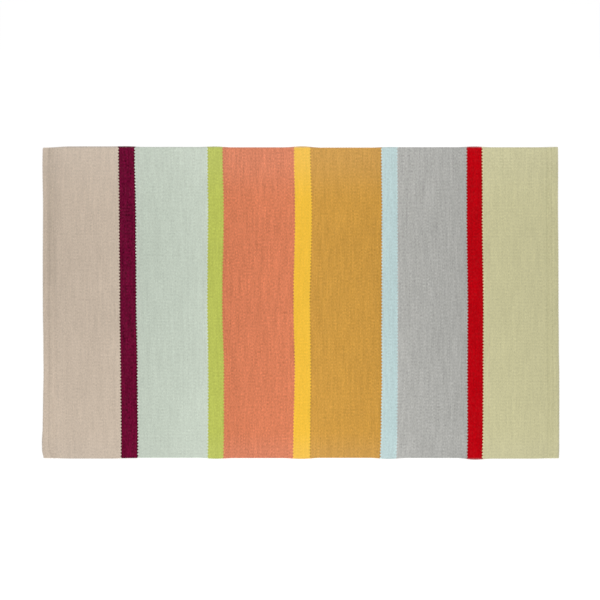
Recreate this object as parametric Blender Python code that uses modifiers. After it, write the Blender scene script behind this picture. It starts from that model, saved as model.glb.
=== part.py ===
"""Outdoor rug: one flat-woven cloth in colour bands, with a hem turned under at each short end.

A standalone script for Blender 4.5: blender --background --python part.py
Lengths are in metres and +Z is up. X runs along the rug, from the sand end to the sage end. Y runs
across it, the way the weft runs, and its far long edge is at +Y. The rug lies on z = 0, with the
middle of its box over the origin.
"""

import math
from typing import NamedTuple

import bmesh
import bpy

# Driving dimensions
RUG_LENGTH = 1.500
RUG_WIDTH = 0.905
CLOTH_THICK = 0.004
FLAP_GAP = 0.0006  # air between the cloth and the flap turned under it
RAMP_LENGTH = 0.010  # over which the cloth comes down off the flap's edge
FIELD_INSET = 0.046  # where the flat field starts, clear of the widest flap and its ramp
END_SPREAD = 0.200  # how far into the rug an end's unevenness dies out
SHOULDER = 0.030  # how far inside a band's sides its long edges run level
SELVEDGE_WIDTH = 0.003
SELVEDGE_SHARE = 0.6  # of the thickness, left at the very edge of the long sides

# Mesh cells
FLAP_CELLS = 2
TURN_CELLS = 6
HEM_CELLS = 2
RAMP_CELLS = 4
CELL_LENGTH = 0.036  # the longest cell along the field
ROW_CELLS = 24


class Band(NamedTuple):
    """A colour band. A shift moves the side that it starts on along X, at the far or near edge.

    far_out and near_out say how far its long edges stand out from the nominal width.
    """

    name: str
    width: float
    far_shift: float
    near_shift: float
    far_out: float
    near_out: float
    colour: tuple[float, float, float]


BANDS = (
    Band("sand", 0.222, 0.0, 0.0, 0.0020, 0.0008, (0.550, 0.455, 0.364)),
    Band("plum", 0.048, -0.0028, 0.0049, 0.0022, -0.0004, (0.131, 0.004, 0.027)),
    Band("mint", 0.208, -0.0038, 0.0055, -0.0001, -0.0026, (0.537, 0.604, 0.512)),
    Band("lime", 0.045, 0.0012, 0.0017, 0.0013, 0.0006, (0.484, 0.534, 0.107)),
    Band("coral", 0.208, 0.0, 0.0030, -0.0013, -0.0007, (0.690, 0.215, 0.107)),
    Band("sun_yellow", 0.047, 0.0004, -0.0022, 0.0009, 0.0010, (0.891, 0.528, 0.055)),
    Band("ochre", 0.208, 0.0, -0.0009, -0.0029, -0.0015, (0.608, 0.316, 0.060)),
    Band("ice_blue", 0.047, -0.0012, -0.0046, -0.0004, 0.0010, (0.500, 0.637, 0.636)),
    Band("grey", 0.203, -0.0012, -0.0035, -0.0009, -0.0007, (0.411, 0.409, 0.386)),
    Band("red", 0.044, -0.0022, -0.0010, 0.0004, 0.0028, (0.451, 0.002, 0.006)),
    Band("sage", 0.220, -0.0031, -0.0025, -0.0015, 0.0007, (0.549, 0.523, 0.304)),
)
CLOTH_ROUGHNESS = 0.92

CORNER_SPAN = 0.012  # how far along the long edges a corner is drawn in
SAND_CORNERS_OUT = (-0.0022, -0.0006)  # far, near
SAGE_CORNERS_OUT = (-0.0006, -0.0002)


class EndRow(NamedTuple):
    """How far each short end stands out, and how wide its hem is, at a place across the rug."""

    across: float
    sand_out: float
    sage_out: float
    sand_hem: float
    sage_hem: float


ENDS = (
    EndRow(-0.452, -0.0014, 0.0012, 0.0290, 0.0215),
    EndRow(-0.425, 0.0020, 0.0020, 0.0250, 0.0215),
    EndRow(-0.400, 0.0032, 0.0020, 0.0215, 0.0215),
    EndRow(-0.290, -0.0003, 0.0019, 0.0205, 0.0210),
    EndRow(-0.208, -0.0025, 0.0017, 0.0205, 0.0210),
    EndRow(-0.126, -0.0021, 0.0013, 0.0210, 0.0215),
    EndRow(0.000, 0.0003, 0.0003, 0.0215, 0.0215),
    EndRow(0.118, 0.0005, -0.0003, 0.0215, 0.0220),
    EndRow(0.281, -0.0003, -0.0015, 0.0215, 0.0220),
    EndRow(0.403, 0.0015, -0.0012, 0.0220, 0.0215),
    EndRow(0.452, 0.0008, -0.0014, 0.0220, 0.0215),
)


def eased(rows, at):
    """The value at a place, blended softly between rows of (place, value), level past the last."""
    for (start, first), (stop, last) in zip(rows, rows[1:]):
        if at <= stop:
            share = min(max((at - start) / (stop - start), 0.0), 1.0)
            return first + (last - first) * share * share * (3 - 2 * share)
    return rows[-1][1]


def band_sides():
    """Where each band starts along X, and where the last one ends."""
    sides = [-RUG_LENGTH / 2]
    for band in BANDS:
        sides.append(sides[-1] + band.width)
    return sides


def edge_rows(band_out, corner_outs):
    """(place along X, reach past the nominal width) for one long edge, from corner to corner."""
    sides = band_sides()
    rows = [(sides[0], corner_outs[0])]
    for start, stop, reach in zip(sides, sides[1:], band_out):
        shoulder = min(SHOULDER, (stop - start) / 2)
        rows.append((start + shoulder, reach))
        if shoulder < (stop - start) / 2:
            rows.append((stop - shoulder, reach))
    rows[1] = (sides[0] + CORNER_SPAN, rows[1][1])
    rows[-1] = (sides[-1] - CORNER_SPAN, rows[-1][1])
    return rows + [(sides[-1], corner_outs[1])]


def end_rows(column):
    """(place across, value) for one column of the table of ends."""
    return [(row.across, getattr(row, column)) for row in ENDS]


def side_shift(along, across):
    """How far the weft lies off a straight line across the rug, at a place on it."""
    share = abs(across) / (RUG_WIDTH / 2)
    shifts = [(band.far_shift if across > 0 else band.near_shift) for band in BANDS] + [0.0]
    sides = band_sides()
    for start, stop, first, last in zip(sides, sides[1:], shifts, shifts[1:]):
        if along <= stop:
            return share * (first + (last - first) * (along - start) / (stop - start))
    return 0.0


def end_section(hem_width):
    """Mid-thickness line of a turned end, from the flap's free edge to the flat field.

    Each point is (distance in from the end, height).
    """
    low = CLOTH_THICK / 2
    bend = (CLOTH_THICK + FLAP_GAP) / 2
    high = low + 2 * bend
    turn_inset = low + bend
    flap = [
        (hem_width + (turn_inset - hem_width) * cell / FLAP_CELLS, low)
        for cell in range(FLAP_CELLS)
    ]
    turn = []
    for cell in range(TURN_CELLS + 1):
        angle = math.pi * cell / TURN_CELLS
        turn.append((turn_inset - bend * math.sin(angle), low + bend * (1 - math.cos(angle))))
    hem = [
        (turn_inset + (hem_width - turn_inset) * cell / HEM_CELLS, high)
        for cell in range(1, HEM_CELLS + 1)
    ]
    ramp = [
        (hem_width + RAMP_LENGTH * cell / RAMP_CELLS, eased(((0, high), (RAMP_CELLS, low)), cell))
        for cell in range(1, RAMP_CELLS + 1)
    ]
    return flap + turn + hem + ramp


def field_columns():
    """Places along the flat field, with the band of the cell that starts at each."""
    sides = band_sides()
    sides[0] += FIELD_INSET
    sides[-1] -= FIELD_INSET
    columns = []
    for index, (start, stop) in enumerate(zip(sides, sides[1:])):
        cells = math.ceil((stop - start) / CELL_LENGTH) + 1
        columns += [(start + (stop - start) * cell / cells, index) for cell in range(cells)]
    return columns + [(sides[-1], len(BANDS) - 1)]


def row_places():
    """Places across the rug as shares of its half width, with a narrow row along each selvedge."""
    inner = 1 - SELVEDGE_WIDTH / (RUG_WIDTH / 2)
    field = [inner * (2 * row / ROW_CELLS - 1) for row in range(ROW_CELLS + 1)]
    return [-1.0, *field, 1.0]


def cloth_points(columns, rows):
    """A point on the mid-thickness surface for each column and row."""
    far_edge = edge_rows([band.far_out for band in BANDS], (SAND_CORNERS_OUT[0], SAGE_CORNERS_OUT[0]))
    near_edge = edge_rows([band.near_out for band in BANDS], (SAND_CORNERS_OUT[1], SAGE_CORNERS_OUT[1]))
    half = RUG_LENGTH / 2
    points = []
    for row in rows:
        across = row * RUG_WIDTH / 2
        sand_out = eased(end_rows("sand_out"), across)
        sage_out = eased(end_rows("sage_out"), across)
        sand_end = [(inset - half, z) for inset, z in end_section(eased(end_rows("sand_hem"), across))]
        sage_end = [(half - inset, z) for inset, z in end_section(eased(end_rows("sage_hem"), across))]
        field = [(along, CLOTH_THICK / 2) for along, _ in columns]
        line = []
        for along, height in sand_end + field + sage_end[::-1]:
            reach = eased(far_edge if row > 0 else near_edge, along)
            x = along + side_shift(along, across)
            x -= sand_out * max(0.0, 1 - (half + along) / END_SPREAD)
            x += sage_out * max(0.0, 1 - (half - along) / END_SPREAD)
            line.append((x, across + row * reach, height))
        points.append(line)
    return points


def band_material(band):
    material = bpy.data.materials.new(f"{band.name}_weft")
    material.use_nodes = True
    shader = material.node_tree.nodes["Principled BSDF"]
    shader.inputs["Base Color"].default_value = (*band.colour, 1.0)
    shader.inputs["Roughness"].default_value = CLOTH_ROUGHNESS
    shader.inputs["Metallic"].default_value = 0.0
    material.diffuse_color = (*band.colour, 1.0)
    return material


def make_rug(collection):
    """The cloth: a grid laid along its mid-thickness surface, thickened evenly on both sides."""
    columns = field_columns()
    rows = row_places()
    points = cloth_points(columns, rows)
    end_cells = len(end_section(ENDS[0].sand_hem))
    cell_bands = [0] * end_cells + [band for _, band in columns] + [len(BANDS) - 1] * end_cells
    across_cells = len(rows) - 1
    along_cells = len(points[0]) - 1

    cloth = bmesh.new()
    bmesh.ops.create_grid(cloth, x_segments=along_cells, y_segments=across_cells, size=1.0)
    for vertex in cloth.verts:
        column = round((vertex.co.x + 1) / 2 * along_cells)
        row = round((vertex.co.y + 1) / 2 * across_cells)
        vertex.index = row * (along_cells + 1) + column
    for face in cloth.faces:
        column = min(vertex.index % (along_cells + 1) for vertex in face.verts)
        face.material_index = cell_bands[column]
        face.smooth = True
    for vertex in cloth.verts:
        row, column = divmod(vertex.index, along_cells + 1)
        vertex.co = points[row][column]
    cloth.verts.sort()
    lowest = [min(vertex.co[axis] for vertex in cloth.verts) for axis in range(2)]
    highest = [max(vertex.co[axis] for vertex in cloth.verts) for axis in range(2)]
    middle = [(low + high) / 2 for low, high in zip(lowest, highest)]
    bmesh.ops.translate(cloth, verts=cloth.verts, vec=(-middle[0], -middle[1], 0.0))
    thin_rows = [v.index for v in cloth.verts if v.index // (along_cells + 1) in (0, across_cells)]
    mesh = bpy.data.meshes.new("rug")
    cloth.to_mesh(mesh)
    cloth.free()

    for band in BANDS:
        mesh.materials.append(band_material(band))
    rug = bpy.data.objects.new("rug", mesh)
    collection.objects.link(rug)
    fullness = rug.vertex_groups.new(name="fullness")
    fullness.add(range(len(mesh.vertices)), 1.0, "REPLACE")
    fullness.add(thin_rows, SELVEDGE_SHARE, "REPLACE")
    thicken = rug.modifiers.new("thickness", "SOLIDIFY")
    thicken.thickness = CLOTH_THICK
    thicken.offset = 0.0
    thicken.use_even_offset = True
    thicken.vertex_group = fullness.name
    return rug


def main():
    for old in list(bpy.data.objects):
        bpy.data.objects.remove(old, do_unlink=True)
    collection = bpy.data.collections.new("outdoor_rug")
    bpy.context.scene.collection.children.link(collection)
    make_rug(collection)


main()
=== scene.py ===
"""Outdoor rug: a flat-woven cloth in eleven colour bands, hemmed and stitched at both short ends.

The file is laid out as a Blender add-on and run as a script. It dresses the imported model, which
stays as it is: each colour band becomes a woven piece, and each hem gets its row of stitches.
Lengths are in metres and +Z is up. X runs along the rug from the sand end to the sage end, and Y
runs across it, the way the weft runs. Places in the weave are counted in picks along the rug (one
weft each) and in ribs across it (one warp each).
"""

import math
from typing import NamedTuple

import bpy
import numpy as np
from bpy.props import FloatProperty, FloatVectorProperty, IntProperty, PointerProperty
from bpy.types import Operator, Panel, PropertyGroup
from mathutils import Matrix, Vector


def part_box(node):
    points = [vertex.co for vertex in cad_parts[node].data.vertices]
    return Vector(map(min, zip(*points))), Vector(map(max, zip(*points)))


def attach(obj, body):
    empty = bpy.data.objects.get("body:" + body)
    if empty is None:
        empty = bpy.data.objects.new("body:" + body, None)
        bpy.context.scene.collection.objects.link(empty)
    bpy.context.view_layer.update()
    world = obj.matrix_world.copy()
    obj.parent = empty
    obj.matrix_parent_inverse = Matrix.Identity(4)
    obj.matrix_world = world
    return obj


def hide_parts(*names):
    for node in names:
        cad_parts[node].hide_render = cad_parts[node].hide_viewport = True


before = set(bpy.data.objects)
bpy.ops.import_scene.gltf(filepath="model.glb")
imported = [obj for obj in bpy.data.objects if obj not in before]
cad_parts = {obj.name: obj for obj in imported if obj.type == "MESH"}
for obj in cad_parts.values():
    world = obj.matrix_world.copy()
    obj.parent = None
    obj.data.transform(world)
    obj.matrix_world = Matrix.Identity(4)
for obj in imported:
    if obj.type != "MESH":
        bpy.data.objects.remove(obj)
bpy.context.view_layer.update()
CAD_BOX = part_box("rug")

bl_info = {
    "name": "Outdoor Rug",
    "version": (1, 0, 0),
    "blender": (4, 5, 0),
    "location": "3D View > Sidebar > Rug",
    "description": "Weaves the colour bands of a flat rug, stitches its hems and sets the stage",
    "category": "Object",
}

# The cloth's own dimensions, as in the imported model
RUG_LENGTH = 1.500
RUG_WIDTH = 0.905
CLOTH_THICK = 0.004
FLAP_GAP = 0.0006  # between a flap and the cloth over it
RAMP_LENGTH = 0.010  # from a flap's free edge until the cloth lies on the floor
END_SPREAD = 0.200  # how far in the unevenness of an end reaches
SHOULDER = 0.030  # how far inside a band's sides its long edges run level
CORNER_SPAN = 0.08  # how far in from a corner the end bands' long edges run level
SAND_CORNERS_OUT = (-0.0026, 0.0004)  # how far the far and the near corner stand out sideways
SAGE_CORNERS_OUT = (-0.0002, 0.0010)

# The turn at each end, seen along Y, by the surface at mid-thickness
LOW = CLOTH_THICK / 2  # height of the flap, and of the cloth away from the hems
BEND = (CLOTH_THICK + FLAP_GAP) / 2  # radius of the turn
HIGH = LOW + 2 * BEND  # height over the flap
TURN_INSET = LOW + BEND  # how far in from the end the turn starts

# The weave
PICK = 0.0023  # from one weft to the next
RIBS = 198  # warps across the rug
RIB = RUG_WIDTH / RIBS
HALF_RIB = 0.5  # from a groove to the crown beside it, in ribs
TOOTH = 0.0026  # how deep two yarns interlock at a change of colour
FLAP_PICKS = 8  # wefts in a flap
TURN_PICKS = 3  # wefts round a turn
TURN_STEPS = 9  # columns round a turn
WAVE_RIBS = (23.0, 41.0, 67.0)  # how long the waves are in which a weft strays, in ribs
HELD_END = 0.05  # how far in from an end the wefts are held straighter
UNDER_STEP = 6  # picks from one column of the underside to the next
FINE_END_PICKS = 24  # how far in from each free edge the underside has every column
FLOOR_GAP = 0.0002


class Band(NamedTuple):
    """A colour band, and where the weft that it starts with strays along X from a straight line.

    far, upper, lower, hook and near are places across the rug, as in STRAY_PLACES. far_out and
    near_out say how far the band's long edges stand out from the nominal width.
    """

    name: str
    width: float
    far: float
    upper: float
    lower: float
    hook: float
    near: float
    far_out: float
    near_out: float


STRAY_PLACES = {"near": -0.4525, "hook": -0.385, "lower": -0.211, "upper": 0.255, "far": 0.4525}
BANDS = (
    Band("sand", 0.223, 0.0, 0.0, 0.0, 0.0, 0.0, 0.0017, 0.0025),
    Band("plum", 0.0485, -0.0038, -0.0018, 0.0025, 0.0041, 0.0039, 0.0022, 0.0012),
    Band("mint", 0.2066, -0.0048, -0.0015, 0.0035, 0.0047, 0.0045, 0.0004, 0.0002),
    Band("lime", 0.0434, 0.0007, 0.0016, 0.0023, 0.0019, 0.0012, 0.0016, 0.0030),
    Band("coral", 0.2076, 0.0005, 0.0041, 0.0048, 0.0045, 0.0035, -0.0008, 0.0010),
    Band("sun_yellow", 0.0476, 0.0014, 0.0041, 0.0035, -0.0004, -0.0012, 0.0024, 0.0038),
    Band("ochre", 0.2093, 0.0010, 0.0052, 0.0021, 0.0006, 0.0001, -0.0016, 0.0004),
    Band("ice_blue", 0.0462, -0.0012, 0.0004, 0.0, -0.0021, -0.0046, 0.0001, 0.0037),
    Band("grey", 0.2034, -0.0012, -0.0004, -0.0003, -0.0017, -0.0035, -0.0006, 0.0008),
    Band("red", 0.0461, -0.0027, -0.0027, -0.0007, -0.0005, -0.0015, 0.0015, 0.0055),
    Band("sage", 0.2183, -0.0036, -0.0030, -0.0003, -0.0014, -0.0030, -0.0008, 0.0027),
)


class Yarn(NamedTuple):
    """A band's yarn. life says how much its wefts differ in tone, beside those of the sand band. Its edge
    shade is the painted shade on its first and last wefts, where a change of yarn pulls them in, or below
    0 a painted highlight where it lets them bulge."""

    life: float
    edge_painted_shade: float
    colour: tuple


YARNS = {
    "sand": Yarn(1.0, -0.08, (0.693, 0.574, 0.462)),
    "plum": Yarn(4.5, 0.48, (0.158, 0.0039, 0.0324)),
    "mint": Yarn(0.9, -0.06, (0.607, 0.680, 0.583)),
    "lime": Yarn(1.2, 0.06, (0.511, 0.562, 0.111)),
    "coral": Yarn(1.85, 0.08, (0.684, 0.2125, 0.104)),
    "sun_yellow": Yarn(0.7, -0.02, (0.870, 0.514, 0.0515)),
    "ochre": Yarn(1.6, 0.16, (0.607, 0.319, 0.059)),
    "ice_blue": Yarn(1.0, -0.05, (0.534, 0.683, 0.684)),
    "grey": Yarn(1.7, -0.05, (0.471, 0.469, 0.445)),
    "red": Yarn(1.8, 0.36, (0.547, 0.00122, 0.0058)),
    "sage": Yarn(0.9, -0.08, (0.693, 0.661, 0.389)),
}


class EndRow(NamedTuple):
    """How far each short end stands out, how wide its hem is, and how strongly the painted shade round the
    sand end's seam shows, against the painted light beside it, at a place across the rug."""

    across: float
    sand_out: float
    sage_out: float
    sand_hem: float
    sage_hem: float
    sand_seam_shade_share: float


ENDS = (
    EndRow(-0.452, -0.0014, 0.0012, 0.0290, 0.0215, 0.50),
    EndRow(-0.430, 0.0026, 0.0020, 0.0250, 0.0215, 0.50),
    EndRow(-0.408, 0.0032, 0.0020, 0.0220, 0.0215, 0.40),
    EndRow(-0.360, 0.0008, 0.0021, 0.0210, 0.0215, 0.35),
    EndRow(-0.290, -0.0003, 0.0023, 0.0205, 0.0210, 0.35),
    EndRow(-0.208, -0.0018, 0.0021, 0.0205, 0.0210, 0.35),
    EndRow(-0.126, -0.0012, 0.0008, 0.0210, 0.0215, 0.45),
    EndRow(0.000, 0.0003, -0.0001, 0.0215, 0.0215, 0.75),
    EndRow(0.118, 0.0005, -0.0003, 0.0215, 0.0220, 1.00),
    EndRow(0.281, -0.0003, -0.0015, 0.0215, 0.0220, 1.00),
    EndRow(0.403, 0.0015, -0.0012, 0.0220, 0.0215, 0.95),
    EndRow(0.452, 0.0008, -0.0014, 0.0220, 0.0215, 0.90),
)

# Painted shade round the hem's seam, painted highlight where below 0: (place in from the flap's free edge,
# shade)
SAND_SEAM_PAINTED_SHADE = ((-0.012, 0.0), (-0.002, 0.13), (0.005, 0.12), (0.012, 0.085), (0.034, 0.0))
SAGE_SEAM_PAINTED_SHADE = ((-0.014, 0.0), (-0.005, -0.03), (0.000, 0.0), (0.005, 0.07), (0.010, 0.06), (0.018, 0.0))
# Painted light on the sand end where its seam's painted shade hardly shows: (place in from the end, share)
SAND_END_PAINTED_LIGHT = ((0.0, 0.11), (0.025, 0.10), (0.075, 0.02), (0.12, 0.0))

# Selvedge: (ribs in from the edge, share of the thickness there), from the edge inwards
SELVEDGE = ((0.05, 0.42), (0.2, 0.78))

# A stitch, and the groove that it pulls
STITCH_RISE = 3.2  # how far its crown rises, in thread radii
STITCH_DIP = 2.2  # how far its ends dive, in thread radii
STITCH_SLANT = 0.07  # how far it may turn off its line, in radians
STITCH_SUNK = 0.3  # how deep its line lies, as a share of the groove
STITCH_STEPS = 6
THREAD_SIDES = 7
DIMPLE_SHARE = 0.3  # how much of the groove's depth goes up and down from stitch to stitch

# A yarn dyed so deep that its weakest channel is under this takes no painted sheen towards the long sides
DEEP_DYE = 0.04

# Where the photograph has the rug, in pixels of its 600 by 600 frame
PHOTO_WIDTH = 600
RUG_CENTRE_PX = (300.6, 302.95)
METRES_PER_PX = 0.00291
FILTER_WIDTH = 1.7  # how softly the picture is drawn, in its pixels

# The bake's map, in shares of the image: a band's outer side in strips, its underside, its cut ends
TOP_SHARE = 0.80
UNDER_SHARE = 0.15
WALL_SHARE = 0.008
MAP_GAP = 0.004
MAP_TALL = 0.98
OUTER_RIM_TALL = (0.01, 0.99)
INNER_RIM_TALL = (0.02, 0.98)
NARROW_BAND = 0.1  # a band narrower than this has its own count of strips
NARROW_STRIPS = 4
WIDE_STRIPS = 2


def colour_of(name, description, default):
    """A colour setting."""
    return FloatVectorProperty(
        name=name, description=description, default=default, subtype="COLOR", size=3, min=0.0, max=1.0
    )


def yarn_colour(band_name, colour):
    """A colour setting for one band's yarn."""
    shown = band_name.replace("_", " ")
    return colour_of(shown.capitalize(), f"Colour of the {shown} weft", colour)


def length(name, description, default):
    """A setting in metres."""
    return FloatProperty(
        name=name, description=description, default=default, min=0.0, unit="LENGTH", precision=5
    )


def share(name, description, default):
    """A setting from 0 to 1."""
    return FloatProperty(
        name=name, description=description, default=default, min=0.0, max=1.0, subtype="FACTOR"
    )


def power(name, description, default):
    """A setting in watts."""
    return FloatProperty(name=name, description=description, default=default, min=0.0, unit="POWER")


class RugWeaveSizes(PropertyGroup):
    """Relief of the weave."""

    rib_height: length("Rib height", "How far a rib stands above its grooves", 0.0006)
    bump_height: length("Bump height", "How far a weft that passes over stands proud", 0.0004)
    alternate_rise: length("Alternate rise", "How far every other rib stands proud", 0.00018)
    unevenness: length("Unevenness", "How much the height of the yarn varies", 0.00018)
    selvedge_loop: length("Selvedge loop", "How far each turn of the weft stands out at the edge", 0.0006)
    groove_depth: length("Stitch groove", "How deep the stitches pull the hem in", 0.0008)
    groove_width: length("Groove width", "Half the width of the pulled-in line", 0.0019)
    stitch_back: length("Stitch line", "How far the stitches lie from the flap's free edge", 0.0028)
    wander: length("Wander", "How far single wefts stray from their line", 0.000105)
    beat: share("Beat", "How much closer or looser one weft is beaten up than the next", 0.22)
    seed: IntProperty(name="Seed", description="Draw of the yarn's unevenness", default=7, min=0)


class RugYarnColours(PropertyGroup):
    """The colour of each band's yarn."""

    __annotations__ = {name: yarn_colour(name, yarn.colour) for name, yarn in YARNS.items()}


class RugYarnFinish(PropertyGroup):
    """How the yarn takes the light, the shade and highlights painted on it, and how evenly it is dyed."""

    weft_tone: share("Weft tone", "How much one weft differs in tone from the next", 0.073)
    bump_tone: share("Bump tone", "How much one bump of the weave differs from the next", 0.058)
    # Painted shade on every other rib, which lies a little lower, and painted light on the rest
    rib_tone: share("Rib tone", "How much darker every other rib is, which lies a little lower", 0.006)
    # Painted shade in the grooves between the plies
    ply_tone: share("Ply tone", "How dark the yarn is between the plies of a strand", 0.22)
    fibre_tone: share("Fibre tone", "Light and dark of the spun fibres", 0.12)
    # Pale fibre ends, and painted glints on the yarn
    fuzz: share("Fuzz", "Pale fibre ends that stand out of the yarn", 0.004)
    # Painted shade in the grooves round each strand
    tuck_shade: share("Tuck shade", "How dark the yarn is in the grooves round each strand", 0.30)
    mottle: share("Mottle", "Broad unevenness of tone over the cloth", 0.03)
    # Greying with wear, and painted shade where the selvedges and folds turn away from the light
    edge_wear: share("Edge wear", "How much the selvedges and folds have greyed", 0.6)
    roughness: share("Roughness", "Roughness of the yarn's crowns", 0.86)
    sheen: share("Sheen", "Soft light that the fibres catch at a low angle", 0.12)


class RugStitchSizes(PropertyGroup):
    """The row of stitches along each hem."""

    pitch: length("Pitch", "From one stitch to the next", 0.0064)
    reach: length("Stitch", "Length of one stitch on the surface", 0.0046)
    thread: length("Thread", "Thickness of the sewing thread", 0.0009)
    sand_thread: colour_of("Sand thread", "Thread at the sand end", (0.43, 0.345, 0.265))
    sage_thread: colour_of("Sage thread", "Thread at the sage end", (0.43, 0.405, 0.225))


class RugStage(PropertyGroup):
    """Floor, lamps and camera."""

    floor_size: length("Floor", "Side of the floor", 30.0)
    floor_glow: share("Floor glow", "How far the paper floor is lit from below", 0.66)
    dome: FloatProperty(name="Dome", description="Light from all round", default=0.60, min=0.0)
    strip_power: power("Strip lamp", "Low lamp over the middle of the rug", 2.6)
    key_power: power("Key lamp", "Broad lamp on the near side", 31.0)
    far_power: power("Far lamp", "Low lamp beyond the far edge", 1.1)
    lens: FloatProperty(name="Lens", description="Focal length in millimetres", default=80.0)


def eased(rows, at):
    """The value at each place, blended softly between rows of (place, value), level past the last."""
    places, values = (np.array(column, dtype=float) for column in zip(*rows))
    after = np.clip(np.searchsorted(places, at), 1, len(places) - 1)
    start, stop = places[after - 1], places[after]
    part = np.clip((at - start) / (stop - start), 0.0, 1.0)
    return values[after - 1] + (values[after] - values[after - 1]) * part * part * (3 - 2 * part)


def band_sides():
    """Where each band starts along X, and where the last one ends."""
    return np.concatenate(([0.0], np.cumsum([band.width for band in BANDS]))) - RUG_LENGTH / 2


def edge_rows(reaches, corner_outs):
    """(place along X, reach past the nominal width) for one long edge, from corner to corner."""
    sides = band_sides()
    rows = [(sides[0], corner_outs[0])]
    for start, stop, reach in zip(sides, sides[1:], reaches):
        shoulder = min(SHOULDER, (stop - start) / 2)
        rows.append((start + shoulder, reach))
        if shoulder < (stop - start) / 2:
            rows.append((stop - shoulder, reach))
    rows[1] = (sides[0] + CORNER_SPAN, rows[1][1])
    rows[-1] = (sides[-1] - CORNER_SPAN, rows[-1][1])
    return rows + [(sides[-1], corner_outs[1])]


def end_value(column, across):
    """One column of the table of ends, at each place across the rug."""
    return eased([(row.across, getattr(row, column)) for row in ENDS], across)


def weft_stray(along, across):
    """How far the weft lies off a straight line across the rug, at each place on it."""
    stray = []
    for band in BANDS:
        rows = [(place, getattr(band, name)) for name, place in STRAY_PLACES.items()]
        stray.append(eased(sorted(rows + [(0.0, 0.0)]), across))
    stray = np.array(stray + [np.zeros_like(across)])
    sides = band_sides()
    after = np.clip(np.searchsorted(sides, along), 1, len(sides) - 1)
    part = np.clip((along - sides[after - 1]) / (sides[after] - sides[after - 1]), 0.0, 1.0)
    column = np.arange(len(across))[None, :]
    return stray[after - 1, column] * (1 - part) + stray[after, column] * part


def laid_out(along, across):
    """X and Y on the rug of places on the straight cloth. along has a row for each column of the
    weave, and across is one value for each rib place."""
    far_edge = edge_rows([band.far_out for band in BANDS], (SAND_CORNERS_OUT[0], SAGE_CORNERS_OUT[0]))
    near_edge = edge_rows([band.near_out for band in BANDS], (SAND_CORNERS_OUT[1], SAGE_CORNERS_OUT[1]))
    half = RUG_LENGTH / 2
    reach = np.where(across > 0, eased(far_edge, along), eased(near_edge, along))
    x = along + weft_stray(along, across)
    x = x - end_value("sand_out", across) * np.clip(1 - (half + along) / END_SPREAD, 0, None)
    x = x + end_value("sage_out", across) * np.clip(1 - (half - along) / END_SPREAD, 0, None)
    return x, across + across / (RUG_WIDTH / 2) * reach


class Cloth(NamedTuple):
    """The plain cloth before it is woven: its mid-thickness surface, a row for each column of the
    weave and an entry for each rib place."""

    weft: np.ndarray  # pick at each column
    rib: np.ndarray  # rib place of each row
    points: np.ndarray
    normals: np.ndarray
    pull: np.ndarray  # how much each point is pulled in by the stitches, 0 to 1
    crease: np.ndarray  # painted shade at each point round the hem's seam, below 0 painted light
    shift: np.ndarray  # from the table's places to the frame's


def top_picks():
    """How many picks lie on top, between the two turns."""
    return round((RUG_LENGTH - 2 * TURN_INSET) / PICK)


def picks_laid():
    """The pick that each band after the first starts with, and how far in from the sand end every
    pick of the top lies. Two yarns interlock over the pick before a start, on the band's side."""
    picks = top_picks()
    span = RUG_LENGTH - 2 * TURN_INSET
    sides = band_sides()[1:-1] + RUG_LENGTH / 2 - TURN_INSET
    starts = np.rint(sides / span * picks + 0.5)
    counts = np.concatenate(([0.0], np.stack([starts - 1, starts], axis=1).ravel(), [picks]))
    teeth = np.stack([sides - TOOTH / 2, sides + TOOTH / 2], axis=1).ravel()
    reaches = np.concatenate(([0.0], teeth, [span]))
    return starts.astype(int), TURN_INSET + np.interp(np.arange(picks + 1), counts, reaches)


def beaten_up(insets, starts, unevenness, draw):
    """The places of the picks, no two quite as far apart, with every change of colour kept."""
    knots = sorted({0, len(insets) - 1, *starts.tolist(), *(starts - 1).tolist()})
    steps = np.diff(insets) * (1 + draw.uniform(-unevenness, unevenness, len(insets) - 1))
    for first, last in zip(knots, knots[1:]):
        steps[first:last] *= (insets[last] - insets[first]) / steps[first:last].sum()
    return insets[0] + np.concatenate(([0.0], np.cumsum(steps)))


def end_section(hem_width):
    """(inset from the end, height, pick) along one turned end, from the flap's free edge to the top
    of the turn, for each hem width."""
    rows = []
    for cell in range(FLAP_PICKS):
        part = cell / FLAP_PICKS
        rows.append((hem_width + (TURN_INSET - hem_width) * part, LOW, cell))
    for step in range(TURN_STEPS + 1):
        angle = math.pi * step / TURN_STEPS
        inset = np.full_like(hem_width, TURN_INSET - BEND * math.sin(angle))
        height = LOW + BEND * (1 - math.cos(angle))
        rows.append((inset, height, FLAP_PICKS + TURN_PICKS * step / TURN_STEPS))
    return rows


def top_height(inset, hem_width):
    """Height of the mid-thickness surface over the hem, the ramp off it and the field."""
    part = np.clip((inset - hem_width) / RAMP_LENGTH, 0.0, 1.0)
    return HIGH + (LOW - HIGH) * part * part * (3 - 2 * part)


def rib_places():
    """Rib places across the rug: the grooves and crowns of every rib, and the rounded selvedges."""
    rim = [0.0] + [place for place, _ in SELVEDGE]
    ribs = np.arange(HALF_RIB, RIBS, HALF_RIB)
    return np.concatenate([rim, ribs, [RIBS - place for place in reversed(rim)]])


def columns_laid(insets, sand_hem, sage_hem):
    """(place along X, height, pick) of every column of the weave, from one flap's free edge over the
    top to the other's. insets are the places of the top's picks."""
    half = RUG_LENGTH / 2
    first_pick = FLAP_PICKS + TURN_PICKS
    last_pick = 2 * first_pick + len(insets) - 1
    columns = [(inset - half, height, pick) for inset, height, pick in end_section(sand_hem)]
    for pick, inset in enumerate(insets[1:-1], start=1):
        over_hems = top_height(RUG_LENGTH - inset, sage_hem) + top_height(inset, sand_hem) - LOW
        along = np.full_like(sand_hem, inset - half)
        columns.append((along, np.minimum(over_hems, HIGH), first_pick + pick))
    for inset, height, pick in reversed(end_section(sage_hem)):
        columns.append((half - inset, height, last_pick - pick))
    return columns


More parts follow.
